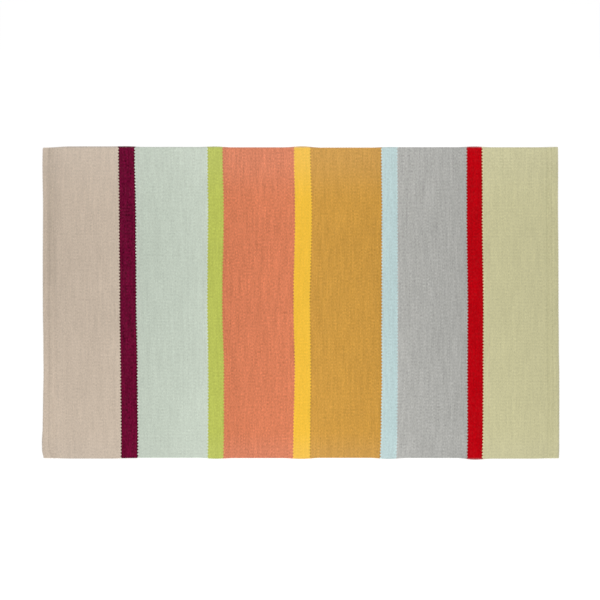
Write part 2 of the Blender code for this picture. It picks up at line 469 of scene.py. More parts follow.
def lay_cloth(weave):
    """The plain cloth on the floor, with its ends turned under."""
    rib = rib_places()
    across = (rib / RIBS - 0.5) * RUG_WIDTH
    half = RUG_LENGTH / 2
    sand_hem = end_value("sand_hem", across)
    sage_hem = end_value("sage_hem", across)
    draw = np.random.default_rng(weave.seed)
    starts, even_insets = picks_laid()
    insets = beaten_up(even_insets, starts, weave.beat, draw)
    columns = columns_laid(insets, sand_hem, sage_hem)
    along = np.array([column[0] for column in columns])
    height = np.array([np.full_like(across, column[1]) for column in columns])
    weft = np.array([column[2] for column in columns])

    x, y = laid_out(along, across)
    waves = np.zeros_like(x)
    for ribs_long in WAVE_RIBS:
        phase = draw.uniform(0, 2 * math.pi, (len(weft), 1))
        waves += draw.normal(0, 1, (len(weft), 1)) * np.sin(2 * math.pi * rib[None, :] / ribs_long + phase)
    loose = np.clip((half - np.abs(along)) / HELD_END, 0, 1)
    x = x + weave.wander * waves * loose

    middle = np.array([(x.min() + x.max()) / 2, (y.min() + y.max()) / 2, 0.0])
    centre = np.array([(low + high) / 2 for low, high in zip(*CAD_BOX)])
    shift = np.array([centre[0], centre[1], 0.0]) - middle
    points = np.stack([x, y, height], axis=-1) + shift
    normals = np.cross(np.gradient(points, axis=0), np.gradient(points, axis=1))
    normals /= np.linalg.norm(normals, axis=-1, keepdims=True)

    off_sand = half + along - (sand_hem - weave.stitch_back)
    off_sage = half - along - (sage_hem - weave.stitch_back)
    pull = sum(np.exp(-((off / weave.groove_width) ** 2)) for off in (off_sand, off_sage))
    # Painted shade and painted light round the hems' seams
    seam = end_value("sand_seam_shade_share", across)
    crease = eased(SAND_SEAM_PAINTED_SHADE, half + along - sand_hem) * seam
    crease = crease - eased(SAND_END_PAINTED_LIGHT, half + along) * (1 - seam)
    crease = crease + eased(SAGE_SEAM_PAINTED_SHADE, half - along - sage_hem)
    return Cloth(weft, rib, points, normals, pull, crease, shift)


class Girth(NamedTuple):
    """The way round the cloth at one column: from the near selvedge's underside over the outer
    side to the far selvedge's underside, and back along the inner side."""

    row: np.ndarray  # row of the plain cloth
    lift: np.ndarray  # share of half the thickness, below 0 on the inner side
    outer: int  # how many places belong to the outer side and the selvedges
    rim: np.ndarray  # 1 at a selvedge, 0 away from it


def girth_of(cloth):
    """The way round the cloth, row by row."""
    rim = len(SELVEDGE)
    rows = len(cloth.rib)
    lift = np.ones(rows)
    rim_share = np.zeros(rows)
    lift[0] = lift[-1] = 0.0
    rim_share[0] = rim_share[-1] = 1.0
    for index, (place, full) in enumerate(SELVEDGE, start=1):
        lift[index] = lift[-1 - index] = full
        rim_share[index] = rim_share[-1 - index] = 1 - place / HALF_RIB
    near = np.arange(rim, 0, -1)
    far = np.arange(rows - 2, rows - 2 - rim, -1)
    inner = np.arange(rows - 2 - rim, rim, -1)
    row = np.concatenate([near, np.arange(rows), far, inner])
    side = np.concatenate([-np.ones(rim), np.ones(rows), -np.ones(rim + len(inner))])
    return Girth(row, lift[row] * side, 2 * rim + rows, rim_share[row])


def grid_faces(ids):
    """Quads between the columns and rows of a grid of vertex numbers."""
    corners = (ids[:-1, :-1], ids[1:, :-1], ids[1:, 1:], ids[:-1, 1:])
    return np.stack(corners, axis=-1).reshape(-1, 4)


def add_values(mesh, name, values):
    """Keeps a number for each vertex under a name, for the nodes to read."""
    layer = mesh.attributes.new(name, "FLOAT", "POINT")
    layer.data.foreach_set("value", np.ascontiguousarray(values, dtype=np.float32).ravel())


def plain_mesh(cloth, girth):
    """The plain cloth as a tube of quads, open at the two free edges, with its weave counted."""
    columns, around = len(cloth.weft), len(girth.row)
    points = cloth.points[:, girth.row] + cloth.normals[:, girth.row] * (
        girth.lift[None, :, None] * CLOTH_THICK / 2
    )
    ids = np.arange(columns * around).reshape(columns, around)
    faces = grid_faces(np.concatenate([ids, ids[:, :1]], axis=1))
    mesh = bpy.data.meshes.new("plain_cloth")
    mesh.from_pydata(points.reshape(-1, 3).tolist(), [], faces.tolist())
    inner = np.arange(around) >= girth.outer
    down = np.clip(-cloth.normals[:, girth.row, 2], 0, 1)
    down[:, inner] = 1.0
    shape = (columns, around)
    add_values(mesh, "weft", np.broadcast_to(cloth.weft[:, None], shape))
    add_values(mesh, "rib", np.broadcast_to(cloth.rib[girth.row][None, :], shape))
    add_values(mesh, "raised_side", np.broadcast_to(np.where(inner, 0.0, 1.0)[None, :], shape))
    add_values(mesh, "pressed_side", down)
    add_values(mesh, "selvedge", np.broadcast_to(girth.rim[None, :], shape))
    add_values(mesh, "stitch_pull", np.where(inner[None, :], 0.0, cloth.pull[:, girth.row]))
    mesh.shade_smooth()
    return mesh


class Graph:
    """A node tree under construction. A feed is a socket to link from, or a plain value."""

    def __init__(self, tree):
        self.tree = tree

    def add(self, kind, feeds=None, **settings):
        node = self.tree.nodes.new(kind)
        for name, value in settings.items():
            setattr(node, name, value)
        for name, feed in (feeds or {}).items():
            self.feed(node.inputs[name], feed)
        return node

    def feed(self, socket, feed):
        if isinstance(feed, bpy.types.NodeSocket):
            self.tree.links.new(feed, socket)
        else:
            socket.default_value = feed

    def math(self, operation, *feeds):
        node = self.add("ShaderNodeMath", dict(enumerate(feeds)), operation=operation)
        return node.outputs[0]

    def total(self, first, *others):
        for other in others:
            first = self.math("ADD", first, other)
        return first

    def product(self, first, *others):
        for other in others:
            first = self.math("MULTIPLY", first, other)
        return first

    def rest(self, share):
        """What a share leaves of 1."""
        return self.math("SUBTRACT", 1.0, share)

    def swing(self, value, amount):
        """A value from 0 to 1, carried to between an amount below 0 and as much above."""
        return self.product(self.math("SUBTRACT", value, 0.5), 2.0, amount)

    def wave(self, operation, turns):
        """Sine or cosine of pi times a count."""
        return self.math(operation, self.product(turns, math.pi))

    def vector(self, **parts):
        return self.add("ShaderNodeCombineXYZ", parts).outputs[0]

    def scaled(self, vector, factor):
        node = self.add("ShaderNodeVectorMath", {0: vector, "Scale": factor}, operation="SCALE")
        return node.outputs[0]

    def blend(self, factor, first, second):
        """The first colour, and the second as far as the factor says."""
        node = self.add("ShaderNodeMix", {"Factor": factor, 6: first, 7: second}, data_type="RGBA")
        return node.outputs[2]

    def noise(self, place, scale=1.0, detail=2.0, roughness=0.5, dimensions="3D"):
        feeds = {"Vector": place, "Scale": scale, "Detail": detail, "Roughness": roughness}
        return self.add("ShaderNodeTexNoise", feeds, noise_dimensions=dimensions).outputs[0]

    def spread(self, value, low, high, to_low, to_high, smooth=False):
        """A value carried from one range to another, held at the ends."""
        node = self.add(
            "ShaderNodeMapRange",
            {"Value": value, "From Min": low, "From Max": high, "To Min": to_low, "To Max": to_high},
            interpolation_type="SMOOTHSTEP" if smooth else "LINEAR",
        )
        return node.outputs["Result"]


def new_group(name, kind, inputs, outputs):
    """A node group with its named sockets, and its graph. inputs and outputs are (name, type)."""
    tree = bpy.data.node_groups.new(name, kind)
    for label, socket in inputs:
        tree.interface.new_socket(label, in_out="INPUT", socket_type=f"NodeSocket{socket}")
    for label, socket in outputs:
        tree.interface.new_socket(label, in_out="OUTPUT", socket_type=f"NodeSocket{socket}")
    graph = Graph(tree)
    return tree, graph, graph.add("NodeGroupInput"), graph.add("NodeGroupOutput")


def read_values(graph, name):
    """The numbers kept under a name, in a Geometry Nodes tree."""
    node = graph.add("GeometryNodeInputNamedAttribute", {"Name": name}, data_type="FLOAT")
    return node.outputs["Attribute"]


def finish_tree(graph, shape, material, result):
    """The end of a Geometry Nodes tree: real mesh, with its material."""
    whole = graph.add("GeometryNodeRealizeInstances", {0: shape})
    painted = graph.add("GeometryNodeSetMaterial", {"Geometry": whole.outputs[0], "Material": material})
    graph.feed(result.inputs[0], painted.outputs[0])


def weave_tree():
    """Raises the ribs, and the weft's bumps that alternate from rib to rib, out of the plain cloth."""
    inputs = [
        ("Cloth", "Geometry"), ("Rib Height", "Float"), ("Bump Height", "Float"),
        ("Alternate Rise", "Float"), ("Unevenness", "Float"), ("Selvedge Loop", "Float"),
        ("Groove Depth", "Float"), ("Stitch Pitch", "Float"), ("Seed", "Float"), ("Yarn", "Material"),
    ]
    tree, graph, given, result = new_group(
        "raise the weave", "GeometryNodeTree", inputs, [("Woven Cloth", "Geometry")]
    )
    size = given.outputs
    weft, rib = read_values(graph, "weft"), read_values(graph, "rib")
    raised, pressed = read_values(graph, "raised_side"), read_values(graph, "pressed_side")
    selvedge, pull = read_values(graph, "selvedge"), read_values(graph, "stitch_pull")

    across = graph.wave("SINE", rib)
    over = graph.product(graph.wave("COSINE", weft), across)
    ribs = graph.product(across, across, size["Rib Height"])
    bump_size = graph.product(size["Bump Height"], raised)
    bumps = graph.product(graph.total(graph.product(over, 0.5), 0.5), bump_size)
    alternate = graph.product(across, size["Alternate Rise"], raised)
    grain = graph.add(
        "ShaderNodeTexNoise",
        {"Vector": graph.add("GeometryNodeInputPosition").outputs[0], "W": size["Seed"], "Scale": 130.0},
        noise_dimensions="4D",
    )
    rough = graph.product(graph.total(grain.outputs[0], -0.5), 2.0, size["Unevenness"], raised)
    full = graph.total(size["Rib Height"], bump_size)
    level = graph.product(full, graph.spread(pressed, 0.0, 1.0, 0.5, 1.0))
    height = graph.math("SUBTRACT", graph.total(ribs, bumps, alternate, rough), level)
    inner_height = graph.product(height, graph.rest(selvedge))
    loops = graph.product(graph.wave("COSINE", weft), 0.5, size["Selvedge Loop"], selvedge)
    stitches = graph.math("DIVIDE", graph.product(rib, RIB, 2.0), size["Stitch Pitch"])
    dots = graph.total(graph.product(graph.wave("COSINE", stitches), DIMPLE_SHARE), 1 - DIMPLE_SHARE)
    groove = graph.product(pull, size["Groove Depth"], dots)
    offset = graph.math("SUBTRACT", graph.total(inner_height, loops), groove)
    normal = graph.add("GeometryNodeInputNormal").outputs[0]
    placed = graph.add(
        "GeometryNodeSetPosition", {"Geometry": size["Cloth"], "Offset": graph.scaled(normal, offset)}
    )
    finish_tree(graph, placed.outputs[0], size["Yarn"], result)
    return tree


def stitch_tree():
    """A row of stitches along a line: short arcs of thread whose ends dive into the cloth."""
    inputs = [
        ("Line", "Geometry"), ("Pitch", "Float"), ("Reach", "Float"), ("Thread Radius", "Float"),
        ("Rise", "Float"), ("Dip", "Float"), ("Slant", "Float"), ("Seed", "Int"), ("Thread", "Material"),
    ]
    tree, graph, given, result = new_group(
        "row of stitches", "GeometryNodeTree", inputs, [("Stitches", "Geometry")]
    )
    size = given.outputs
    start = graph.vector(X=graph.product(size["Reach"], -0.5), Z=size["Dip"])
    crown = graph.vector(Z=size["Rise"])
    stop = graph.vector(X=graph.product(size["Reach"], 0.5), Z=size["Dip"])
    arc = graph.add(
        "GeometryNodeCurveQuadraticBezier",
        {"Resolution": STITCH_STEPS, "Start": start, "Middle": crown, "End": stop},
    )
    ring = graph.add(
        "GeometryNodeCurvePrimitiveCircle", {"Resolution": THREAD_SIDES, "Radius": size["Thread Radius"]}
    )
    stitch = graph.add(
        "GeometryNodeCurveToMesh",
        {"Curve": arc.outputs[0], "Profile Curve": ring.outputs[0], "Fill Caps": True},
    )
    line = graph.add("GeometryNodeMeshToCurve", {"Mesh": size["Line"]})
    spots = graph.add(
        "GeometryNodeResampleCurve", {"Curve": line.outputs[0], "Length": size["Pitch"]}, mode="LENGTH"
    )
    tangent = graph.add("GeometryNodeInputTangent")
    turned = graph.add(
        "FunctionNodeAlignRotationToVector", {"Vector": tangent.outputs[0]}, axis="X", pivot_axis="Z"
    )
    least = graph.product(size["Slant"], -1.0)
    slant = graph.add(
        "FunctionNodeRandomValue",
        {"Min": least, "Max": size["Slant"], "Seed": size["Seed"]},
        data_type="FLOAT",
    )
    spun = graph.add(
        "FunctionNodeRotateRotation",
        {"Rotation": turned.outputs[0], "Rotate By": graph.vector(Z=slant.outputs[1])},
        rotation_space="LOCAL",
    )
    placed = graph.add(
        "GeometryNodeInstanceOnPoints",
        {"Points": spots.outputs[0], "Instance": stitch.outputs[0], "Rotation": spun.outputs[0]},
    )
    smooth = graph.add("GeometryNodeSetShadeSmooth", {0: placed.outputs[0]})
    finish_tree(graph, smooth.outputs[0], size["Thread"], result)
    return tree


def in_scene(name, data):
    """A new object, linked into the scene."""
    thing = bpy.data.objects.new(name, data)
    bpy.context.scene.collection.objects.link(thing)
    return thing


def grown_mesh(name, mesh, tree, values):
    """The mesh that a Geometry Nodes tree makes of another, with its inputs set by name."""
    helper = in_scene(name, mesh)
    modifier = helper.modifiers.new(tree.name, "NODES")
    modifier.node_group = tree
    sockets = {item.name: item.identifier for item in tree.interface.items_tree if item.in_out == "INPUT"}
    for label, value in values.items():
        modifier[sockets[label]] = value
    graph = bpy.context.evaluated_depsgraph_get()
    grown = bpy.data.meshes.new_from_object(helper.evaluated_get(graph))
    grown.name = name
    helper.modifiers.clear()
    bpy.data.objects.remove(helper)
    bpy.data.meshes.remove(mesh)
    return grown


WEAVE_PLACE = "weave"
SEAM_SHADE_LAYER = "seam_crease"
BAKE_MAP = "OFBake"

# The form of a bump of the weave. A fullness of 2 is a round crown, and more is a flatter one
BULGE = 0.24  # how far it bulges in between its neighbours, in ribs
BUMP_FULLNESS = 4.0
STRAND_FULLNESS = 7.0
PLY_LEAN = 2.2  # how far the plies' twist leans over one rib, in strands

# How fast each unevenness of the yarn changes: (for each pick, for each rib)
DYE_CHANGE = (1.7, 0.05)
SLUB_CHANGE = (0.9, 0.6)
FIBRE_CHANGE = (8.0, 3.0)
FIBRE_LEAN = 9.0

# How much of the bump tone goes by single bumps, and how much by the yarn's thick and thin
BY_BUMP = 0.2
BY_SLUB = 3.4

# How much rougher the yarn is in its grooves, and how much its roughness varies from fibre to fibre
GROOVE_ROUGHNESS = 0.1
FIBRE_ROUGHNESS = 0.08

# What each form adds to the height that the light sees
BUMP_RELIEF = 0.45
STRAND_RELIEF = 0.35
PLY_RELIEF = 0.20
FIBRE_RELIEF = 0.22


class BumpPlace(NamedTuple):
    """The bump of the weave that a place belongs to, and where on it the place is, as sockets."""

    weft: object  # place in picks
    rib: object  # place in ribs, which stops short of a selvedge's edge
    pick: object  # the bump's own pick
    warp: object  # the warp that the bump passes over
    side: object  # from -1 to 1 across the rug, over the bump
    along: object  # from -1 to 1 along the rug, over the bump
    strand: object  # count of the strand, two to a bump
    over_strand: object  # from -1 to 1 over the strand


def bump_place(graph, weave_place):
    """Finds the bump: those on neighbouring ribs are a pick apart, and bulge in between them."""
    place = graph.add("ShaderNodeSeparateXYZ", {0: weave_place}).outputs
    weft = place["X"]
    rib = graph.math("MINIMUM", graph.math("MAXIMUM", place["Y"], HALF_RIB), RIBS - HALF_RIB)
    bulge = graph.product(graph.wave("COSINE", weft), graph.wave("COSINE", rib), BULGE)
    bulged = graph.total(rib, bulge)
    warp = graph.math("FLOOR", bulged)
    side = graph.swing(graph.math("SUBTRACT", bulged, warp), 1.0)
    pairs = graph.math("ROUND", graph.product(graph.math("SUBTRACT", weft, warp), 0.5))
    pick = graph.total(warp, graph.product(pairs, 2.0))
    along = graph.math("SUBTRACT", weft, pick)
    strand = graph.math("FLOOR", weft)
    over_strand = graph.swing(graph.math("SUBTRACT", weft, strand), 1.0)
    return BumpPlace(weft, rib, pick, warp, side, along, strand, over_strand)


def yarn_of_bump(graph, pick, size):
    """The colour of the yarn that a bump is of. The band's first and last wefts have their own, with
    painted shade, or a painted highlight where that shade is below 0.
    """
    first = graph.math("LESS_THAN", pick, graph.total(size["From Pick"], 0.5))
    last = graph.math("GREATER_THAN", pick, graph.total(size["Next From Pick"], -1.5))
    changed = graph.math("GREATER_THAN", pick, graph.total(size["Next From Pick"], -0.5))
    own = graph.blend(graph.math("MAXIMUM", first, last), size["Yarn"], size["Edge Yarn"])
    return graph.blend(changed, own, size["Next Yarn"])


def woven_yarn_group():
    """Colour, roughness and height of a weft-faced weave, from its place in picks and ribs, the colour
    with painted shade in its grooves.

    Each bump is one weft, of two strands side by side, passing over one warp. Bumps on neighbouring
    ribs are a pick apart, so they lock into each other like bricks, and so do the two yarns at a
    change of colour. Along a selvedge the weft runs on round the edge.
    """
    inputs = [
        ("Weave Place", "Vector"), ("Yarn", "Color"), ("Edge Yarn", "Color"), ("Next Yarn", "Color"),
        ("From Pick", "Float"), ("Next From Pick", "Float"),
        ("Weft Tone", "Float"), ("Bump Tone", "Float"), ("Rib Tone", "Float"), ("Ply Tone", "Float"),
        ("Fibre Tone", "Float"), ("Fuzz", "Float"), ("Tuck Shade", "Float"), ("Crown Roughness", "Float"),
    ]
    outputs = [("Colour", "Color"), ("Roughness", "Float"), ("Height", "Float")]
    tree, graph, given, result = new_group("woven yarn", "ShaderNodeTree", inputs, outputs)
    size = given.outputs
    bump = bump_place(graph, size["Weave Place"])

    def grain(change, *lean, **more):
        """Noise that changes at its own pace along the picks and the ribs."""
        along_picks = graph.total(graph.product(bump.weft, change[0]), *lean)
        place = graph.vector(X=along_picks, Y=graph.product(bump.rib, change[1]))
        return graph.noise(place, dimensions="2D", **more)

    def crown(value, fullness):
        return graph.rest(graph.math("POWER", graph.math("ABSOLUTE", value), fullness))

    def rounded(fullness, lengthwise):
        """A form that is 1 on its crown and 0 in the grooves round it."""
        form = graph.product(crown(bump.side, fullness), crown(lengthwise, 2.0))
        return graph.math("SQRT", graph.math("MAXIMUM", form, 0.0))

    bump_form = rounded(BUMP_FULLNESS, bump.along)
    strand_form = rounded(STRAND_FULLNESS, bump.over_strand)
    tuck = graph.rest(strand_form)
    bump_id = graph.vector(X=bump.pick, Y=bump.warp)
    chance = graph.add("ShaderNodeTexWhiteNoise", {"Vector": bump_id}, noise_dimensions="2D")
    chances = graph.add("ShaderNodeSeparateColor", {0: chance.outputs["Color"]}).outputs
    twist = graph.total(
        bump.over_strand, graph.product(bump.side, PLY_LEAN), graph.product(chances[2], 2.0), bump.strand
    )
    ply = graph.math("SQRT", graph.math("ABSOLUTE", graph.wave("SINE", graph.product(twist, 0.5))))
    dye_place = graph.vector(
        X=graph.product(bump.pick, DYE_CHANGE[0]), Y=graph.product(bump.rib, DYE_CHANGE[1])
    )
    dye = graph.noise(dye_place, dimensions="2D")
    slub = grain(SLUB_CHANGE)
    fibre = grain(FIBRE_CHANGE, graph.product(bump.rib, FIBRE_LEAN), detail=3.0, roughness=0.6)

    tone = graph.total(
        1.0,
        graph.swing(dye, graph.product(size["Weft Tone"], 2.0)),
        graph.swing(chances[0], graph.product(size["Bump Tone"], BY_BUMP)),
        graph.swing(slub, graph.product(size["Bump Tone"], BY_SLUB)),
        # Painted shade and light on alternate ribs
        graph.swing(graph.math("FRACT", graph.product(bump.warp, 0.5)), size["Rib Tone"]),
        graph.swing(fibre, size["Fibre Tone"]),
    )
    # Painted shade in the grooves round each strand and between the plies
    shade = graph.product(
        graph.rest(graph.product(tuck, size["Tuck Shade"])),
        graph.rest(graph.product(graph.rest(ply), size["Ply Tone"])),
    )
    toned = graph.scaled(yarn_of_bump(graph, bump.pick, size), graph.product(tone, shade))
    # Pale fibre ends and painted glints, bump by bump
    pale = graph.product(chances[1], chances[1], size["Fuzz"])
    colour = graph.add("ShaderNodeVectorMath", {0: toned, 1: pale}, operation="ADD").outputs[0]
    rough = graph.total(
        size["Crown Roughness"], graph.product(tuck, GROOVE_ROUGHNESS), graph.swing(fibre, FIBRE_ROUGHNESS)
    )
    height = graph.total(
        graph.product(bump_form, BUMP_RELIEF), graph.product(strand_form, STRAND_RELIEF),
        graph.product(ply, PLY_RELIEF), graph.product(fibre, FIBRE_RELIEF),
    )
    graph.feed(result.inputs["Colour"], colour)
    graph.feed(result.inputs["Roughness"], rough)
    graph.feed(result.inputs["Height"], height)
    return tree


# How far in from an end or a long side the cloth greys and takes painted shade
END_WEAR_AND_SHADE = 0.006
SIDE_WEAR_AND_SHADE = 0.005
SIDE_WEAR_AND_SHADE_SHARE = 1.7  # how strongly a long side greys and takes painted shade, beside an end
# How far in from the far and the near side a band takes painted sheen, paler and greyer: (where it starts,
# where it is full)
FAR_PAINTED_SHEEN = (0.17, 0.02)
NEAR_PAINTED_SHEEN = (0.09, 0.01)
NEAR_PAINTED_SHEEN_SHARE = 0.8
# How fast the broad streaks of tone change along the rug, across it and upwards
STREAKS = (70.0, 4.0, 4.0)


def tone_wear_and_painted_light_group():
    """Broad mottling over the whole rug, painted sheen towards its long sides, greying and painted shade
    along its selvedges and folded ends, and the painted shade and light round a hem's seam."""
    inputs = [
        ("Place", "Vector"), ("Colour", "Color"), ("Crease", "Float"), ("Mottle", "Float"),
        ("Edge Wear", "Float"), ("Fading", "Float"),
    ]
    tree, graph, given, result = new_group("worn tone", "ShaderNodeTree", inputs, [("Colour", "Color")])
    size = given.outputs
    patches = graph.noise(size["Place"], 9.0, 3.0)
    streak_place = graph.add(
        "ShaderNodeVectorMath", {0: size["Place"], 1: STREAKS}, operation="MULTIPLY"
    ).outputs[0]
    streaks = graph.noise(streak_place)
    tone = graph.total(
        1.0,
        graph.product(graph.total(patches, -0.5), size["Mottle"], 2.0),
        graph.product(graph.total(streaks, -0.5), size["Mottle"], 2.0),
    )
    place = graph.add("ShaderNodeSeparateXYZ", {0: size["Place"]}).outputs
    half_length, half_width = CAD_BOX[1][0], CAD_BOX[1][1]
    off_middle = graph.math("ABSOLUTE", place["X"])
    off_centre = graph.math("ABSOLUTE", place["Y"])
    end = graph.spread(off_middle, half_length - END_WEAR_AND_SHADE, half_length, 0.0, 1.0, True)
    side = graph.spread(off_centre, half_width - SIDE_WEAR_AND_SHADE, half_width, 0.0, SIDE_WEAR_AND_SHADE_SHARE, True)
    frayed = graph.noise(size["Place"], 160.0)
    # Wear and painted shade along the selvedges and folded ends
    wear_and_shade = graph.product(graph.math("MAXIMUM", end, side), size["Edge Wear"], frayed, 2.0)
    far_from, far_to = (half_width - inset for inset in FAR_PAINTED_SHEEN)
    near_from, near_to = (inset - half_width for inset in NEAR_PAINTED_SHEEN)
    # Painted sheen, paler towards the far and the near side
    painted_sheen = graph.total(
        graph.spread(place["Y"], far_from, far_to, 0.0, 1.0, True),
        graph.spread(place["Y"], near_from, near_to, 0.0, NEAR_PAINTED_SHEEN_SHARE, True),
    )
    paler = graph.add(
        "ShaderNodeHueSaturation",
        {
            "Saturation": 0.952, "Value": 0.985, "Fac": graph.product(painted_sheen, size["Fading"]),
            "Color": size["Colour"],
        },
    )
    toned = graph.scaled(paler.outputs[0], tone)
    greyed_and_shaded = graph.add("ShaderNodeHueSaturation", {"Saturation": 0.75, "Value": 0.82, "Color": toned})
    worn_and_painted = graph.blend(wear_and_shade, toned, greyed_and_shaded.outputs[0])
    graph.feed(result.inputs["Colour"], graph.scaled(worn_and_painted, graph.rest(size["Crease"])))
    return tree


def new_material(name):
    material = bpy.data.materials.new(name)
    material.use_nodes = True
    return material, Graph(material.node_tree), material.node_tree.nodes["Principled BSDF"]


def placed_group(graph, tree, feeds):
    """A node group in a material, with its values."""
    node = graph.add("ShaderNodeGroup", node_tree=tree)
    for label, feed in feeds.items():
        graph.feed(node.inputs[label], feed)
    return node.outputs


# A colour with a share of painted shade, or painted light where the share is below 0
def shaded(colour, shade):
    return (*(channel * (1 - shade) for channel in colour), 1.0)


def yarn_material(band, follower, picks, colours, groups, finish):
    """One band's yarn, between two picks. From the last of them on, the bumps are the next yarn's."""
    material, graph, shader = new_material(f"{band.name}_yarn")
    colour = getattr(colours, band.name)
    yarn, next_yarn = YARNS[band.name], YARNS[follower.name]
    yarn_tree, tone_tree = groups
    place = graph.add("ShaderNodeUVMap", uv_map=WEAVE_PLACE)
    object_place = graph.add("ShaderNodeTexCoord").outputs["Object"]
    woven = placed_group(graph, yarn_tree, {
        "Weave Place": place.outputs[0], "Yarn": shaded(colour, 0.0),
        # The first and last wefts carry painted shade, or a painted highlight where the shade is below 0
        "Edge Yarn": shaded(colour, yarn.edge_painted_shade),
        "Next Yarn": shaded(getattr(colours, follower.name), next_yarn.edge_painted_shade),
        "From Pick": picks[0], "Next From Pick": picks[1], "Weft Tone": finish.weft_tone * yarn.life,
        "Bump Tone": finish.bump_tone * yarn.life, "Rib Tone": finish.rib_tone,
        "Ply Tone": finish.ply_tone, "Fibre Tone": finish.fibre_tone, "Fuzz": finish.fuzz,
        "Tuck Shade": finish.tuck_shade, "Crown Roughness": finish.roughness,
    })
    # Mottle and wear, with the painted shade, sheen and light of the cloth
    worn_and_painted = placed_group(graph, tone_tree, {
        "Place": object_place, "Colour": woven["Colour"], "Mottle": finish.mottle,
        "Crease": graph.add("ShaderNodeAttribute", attribute_name=SEAM_SHADE_LAYER).outputs["Fac"],
        "Edge Wear": finish.edge_wear, "Fading": float(min(colour) > DEEP_DYE),
    })
    bump = graph.add("ShaderNodeBump", {"Strength": 0.7, "Distance": 0.0006, "Height": woven["Height"]})
    graph.feed(shader.inputs["Base Color"], worn_and_painted["Colour"])
    graph.feed(shader.inputs["Roughness"], woven["Roughness"])
    graph.feed(shader.inputs["Normal"], bump.outputs[0])
    shader.inputs["Sheen Weight"].default_value = finish.sheen
    shader.inputs["Sheen Roughness"].default_value = 0.6
    shader.inputs["Sheen Tint"].default_value = (*colour, 1.0)
    shader.inputs["Specular IOR Level"].default_value = 0.12
    shader.inputs["Specular Tint"].default_value = (*colour, 1.0)
    material.diffuse_color = (*colour, 1.0)
    return material


def thread_material(name, colour):
    """Twisted sewing thread."""
    material, graph, shader = new_material(name)
    place = graph.add("ShaderNodeTexCoord").outputs["Object"]
    twist = graph.add(
        "ShaderNodeTexWave", {"Vector": place, "Scale": 420.0, "Distortion": 1.5, "Detail": 2.0},
        wave_type="BANDS", bands_direction="DIAGONAL",
    )
    spun = graph.noise(place, 900.0)
    tone = graph.total(
        graph.spread(twist.outputs["Fac"], 0.0, 1.0, 0.78, 1.06), graph.product(spun, 0.12)
    )
    tint = graph.add("ShaderNodeRGB")
    tint.outputs[0].default_value = (*colour, 1.0)
    bump = graph.add(
        "ShaderNodeBump", {"Strength": 0.6, "Distance": 0.0002, "Height": twist.outputs["Fac"]}
    )
    rough = graph.spread(spun, 0.2, 0.8, 0.62, 0.82)
    graph.feed(shader.inputs["Base Color"], graph.scaled(tint.outputs[0], tone))
    graph.feed(shader.inputs["Roughness"], rough)
    graph.feed(shader.inputs["Normal"], bump.outputs[0])
    shader.inputs["Sheen Weight"].default_value = 0.1
    return material


def floor_material(glow):
    """Pale matt paper, lit a little from below."""
    material, graph, shader = new_material("pale_floor")
    place = graph.add("ShaderNodeTexCoord").outputs["Object"]
    grain = graph.noise(place, 30.0)
    tone = graph.spread(grain, 0.0, 1.0, 0.45, 0.46)
    colour = graph.add("ShaderNodeCombineColor", {0: tone, 1: tone, 2: tone})
    rough = graph.spread(grain, 0.0, 1.0, 0.9, 0.95)
    graph.feed(shader.inputs["Base Color"], colour.outputs[0])
    graph.feed(shader.inputs["Roughness"], rough)
    shader.inputs["Specular IOR Level"].default_value = 0.0
    shader.inputs["Emission Color"].default_value = (1.0, 1.0, 1.0, 1.0)
    shader.inputs["Emission Strength"].default_value = glow
    return material


class Patch(NamedTuple):
    """Faces that lie side by side on the bake's map, and every vertex's place there."""

    faces: list
    places: np.ndarray


class Box(NamedTuple):
    """A rectangle on the bake's map."""

    left: float
    width: float


def spread_on(places, ids, box, across, tall):
    """Lays a grid of vertices over a rectangle of the map. across and tall go from 0 to 1."""
    places[ids, 0] = box.left + box.width * across[:, None]
    places[ids, 1] = (1 - MAP_TALL) / 2 + MAP_TALL * tall[None, :]


def fan_faces(outer, inner, columns, flipped):
    """Faces from a row with every column to the next row, which has only some of them."""
    faces = []
    for index, (start, stop) in enumerate(zip(columns, columns[1:])):
        face = [inner[index], *outer[start : stop + 1], inner[index + 1]]
        faces.append(face if flipped else face[::-1])
    return faces


def wall_faces(ring_ids, flipped):
    """Closes the end of a band between its outer side and its inner side, row by row."""
    outer, inner, rim = ring_ids
    first, last = rim, len(outer) - 1 - rim
    faces = [[inner[0], *outer[: first + 1]], [*outer[last:], inner[-1]]]
    crowns = outer[first : last + 1]
    faces += [
        [inner[row], crowns[row], crowns[row + 1], inner[row + 1]] for row in range(len(inner) - 1)
    ]
    return [face[::-1] for face in faces] if flipped else faces


def kept_columns(first, last, end):
    """The columns that the underside of a band keeps: all of them near the rug's free edges."""
    return [
        column
        for column in range(first, last + 1)
        if column in (first, last)
        or column < FINE_END_PICKS
        or column > end - FINE_END_PICKS
        or (column % UNDER_STEP == 0 and min(column - first, last - column) > 1)
    ]


class BandGrid(NamedTuple):
    """Vertex numbers of one band. outer has every column, and inner only those that are kept."""

    outer: np.ndarray
    inner: np.ndarray
    kept: list  # inner's columns, counted from the band's first
    across: np.ndarray  # from 0 to 1 over outer's columns

    def places(self):
        return np.zeros((self.outer.size + self.inner.size, 2))


def top_patches(grid, strips):
    """The outer side, in strips laid side by side."""
    patches = []
    width = TOP_SHARE / strips - MAP_GAP
    cuts = np.linspace(0, grid.outer.shape[1] - 1, strips + 1).astype(int)
    for index, (low, high) in enumerate(zip(cuts, cuts[1:])):
        box = Box(MAP_GAP + index * (width + MAP_GAP), width)
        places = grid.places()
        ids = grid.outer[:, low : high + 1]
        spread_on(places, ids, box, grid.across, np.linspace(0, 1, high + 1 - low))
        patches.append(Patch(grid_faces(ids).tolist(), places))
    return patches


